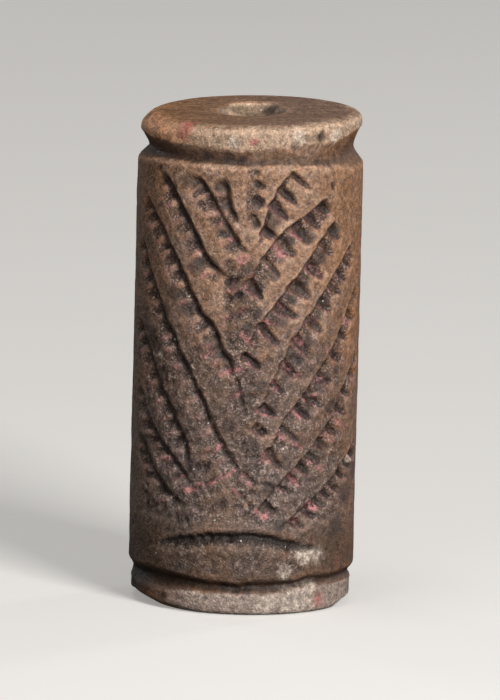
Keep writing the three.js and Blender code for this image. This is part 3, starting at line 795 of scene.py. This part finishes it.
    # grain and dust stand about 0.03 mm proud
    rough = addNode(tree, "Math", {"operation": "ADD"}, links={0: grain, 1: dust}).outputs[0]
    bump = addNode(tree, "Bump", {}, {"Strength": 1.0, "Distance": 0.00013}, {"Height": rough}).outputs[0]
    dull = ramp(blotches, {1: 0.3, 2: 0.7, 3: 0.42, 4: 0.68})
    stone = addNode(tree, "BsdfPrincipled", {}, {"IOR": 1.52},
                    {"Base Color": base, "Roughness": dull, "Normal": bump})
    addNode(tree, "OutputMaterial", links={"Surface": stone.outputs[0]})
    return material


def paleFloor():
    # Matt painted board, even and pale
    material = bpy.data.materials.new("mattPaintedBoard")
    material.use_nodes = True
    tree = material.node_tree
    board = tree.nodes["Principled BSDF"]
    where = addNode(tree, "TexCoord").outputs["Object"]
    mottle = addNode(tree, "TexNoise", values={"Scale": 9.0, "Detail": 2}, links={"Vector": where}).outputs["Fac"]
    tone = addNode(tree, "Mix", {"data_type": "RGBA"}, {6: linear("#f2efea"), 7: linear("#f6f3ef")}, {0: mottle})
    tree.links.new(tone.outputs[2], board.inputs["Base Color"])
    board.inputs["Roughness"].default_value = 0.8
    tree.links.new(tone.outputs[2], board.inputs["Emission Color"])
    board.inputs["Emission Strength"].default_value = 0.28   # the light that the studio's walls throw on it
    return material


sealMesh.materials.append(weatheredStone())
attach(carvedSeal, "root")
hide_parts("cylinder_seal")
print("stone finished")

# Floor, lights and camera
studio = {
    "floorSize": 3.0,
    "centre": Vector((0, 0, 0.025)),
    "lens": 1000, "cameraDistance": 1.9704, "cameraHeight": 9.7, "cameraRoll": 1.457,
    "aim": (0.000426, 0.000385),   # of the picture's middle from the seal's, to the right and up
    "world": "#d8d4ce", "worldStrength": 0.05,
}

bm = bmesh.new()
bmesh.ops.create_grid(bm, x_segments=1, y_segments=1, size=studio["floorSize"] / 2)
floorMesh = bpy.data.meshes.new("studioFloor")
bm.to_mesh(floorMesh)
bm.free()
studioFloor = bpy.data.objects.new("studioFloor", floorMesh)
bpy.context.scene.collection.objects.link(studioFloor)
floorMesh.materials.append(paleFloor())
studioFloor.visible_diffuse = False
studioFloor.visible_glossy = False

# name: degrees round from the front, degrees up, distance, width, height, watts
lamps = {
    "keyLight": (31, 26, 0.6, 0.2, 0.2, 3.0),
    "topLight": (-60, 80, 0.6, 0.25, 0.25, 0.5),
    "fillLight": (-25, 15, 0.8, 0.5, 0.5, 1.0),
    "leftEdge": (-140, 12, 0.6, 0.08, 0.4, 0.3),
    "rightEdge": (135, 12, 0.6, 0.08, 0.4, 0.6),
}
for name, (around, up, distance, width, height, watts) in lamps.items():
    lamp = bpy.data.lights.new(name, "AREA")
    lamp.shape, lamp.size, lamp.size_y, lamp.energy = "RECTANGLE", width, height, watts
    lampObject = bpy.data.objects.new(name, lamp)
    bpy.context.scene.collection.objects.link(lampObject)
    a, e = math.radians(around), math.radians(up)
    towards = Vector((math.sin(a) * math.cos(e), -math.cos(a) * math.cos(e), math.sin(e)))
    lampObject.location = studio["centre"] + towards * distance
    lampObject.rotation_euler = towards.to_track_quat("Z", "Y").to_euler()

world = bpy.data.worlds.new("studioWorld")
bpy.context.scene.world = world
world.use_nodes = True
world.node_tree.nodes["Background"].inputs[0].default_value = linear(studio["world"])
world.node_tree.nodes["Background"].inputs[1].default_value = studio["worldStrength"]

camera = bpy.data.cameras.new("photoCamera")
camera.lens = studio["lens"]
camera.sensor_width = 36
camera.clip_start, camera.clip_end = 0.01, 10
cameraObject = bpy.data.objects.new("photoCamera", camera)
bpy.context.scene.collection.objects.link(cameraObject)
e, roll = math.radians(studio["cameraHeight"]), math.radians(studio["cameraRoll"])
back = Vector((0, -math.cos(e), math.sin(e)))
right = Vector((1, 0, 0))
up = back.cross(right)
right, up = right * math.cos(roll) + up * math.sin(roll), up * math.cos(roll) - right * math.sin(roll)
aim = studio["centre"] + right * studio["aim"][0] + up * studio["aim"][1]
turn = Matrix((right, up, back)).transposed().to_4x4()
turn.translation = aim + back * studio["cameraDistance"]
cameraObject.matrix_world = turn
bpy.context.scene.camera = cameraObject
bpy.context.scene.view_settings.view_transform = "Standard"
print("studio set")
